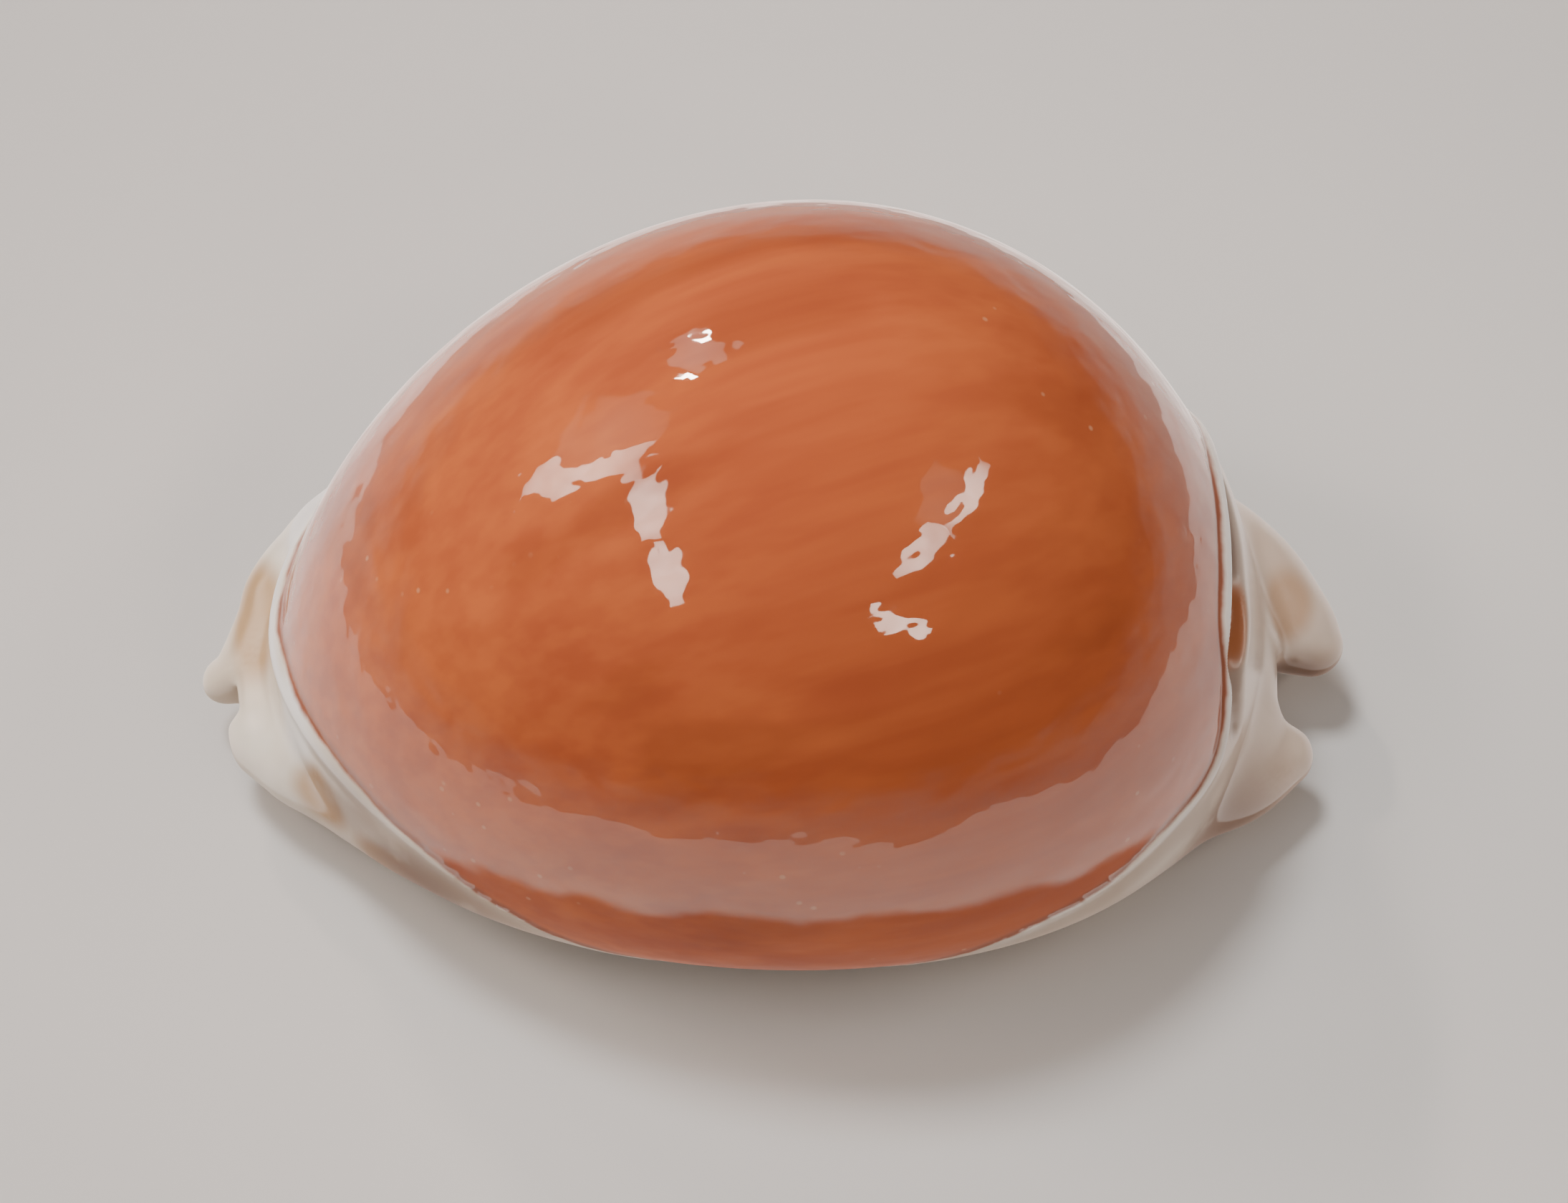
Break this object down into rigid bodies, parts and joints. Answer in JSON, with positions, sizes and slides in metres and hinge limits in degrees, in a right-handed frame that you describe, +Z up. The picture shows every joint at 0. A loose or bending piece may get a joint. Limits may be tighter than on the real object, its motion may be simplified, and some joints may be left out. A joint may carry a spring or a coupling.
{
  "type": "golden cowrie shell",
  "caption": "Glossy egg-shaped sea shell with an orange domed back, pale swollen ends with canal notches, and a narrow toothed slit along its base.",
  "frame": {"origin": "centre of the bounding box at the level of the flat resting spot", "axes": "+X towards the rear (spire) end, the right of the picture; +Y towards the outer lip, the far side in the picture; +Z up through the domed back"},
  "size_m": [0.0982, 0.066, 0.0524],
  "materials": {
    "shell": "glossy orange back; white to cream ends and base"
  },
  "bodies": {
    "root": {"shell": "shell"}
  },
  "joints": []
}
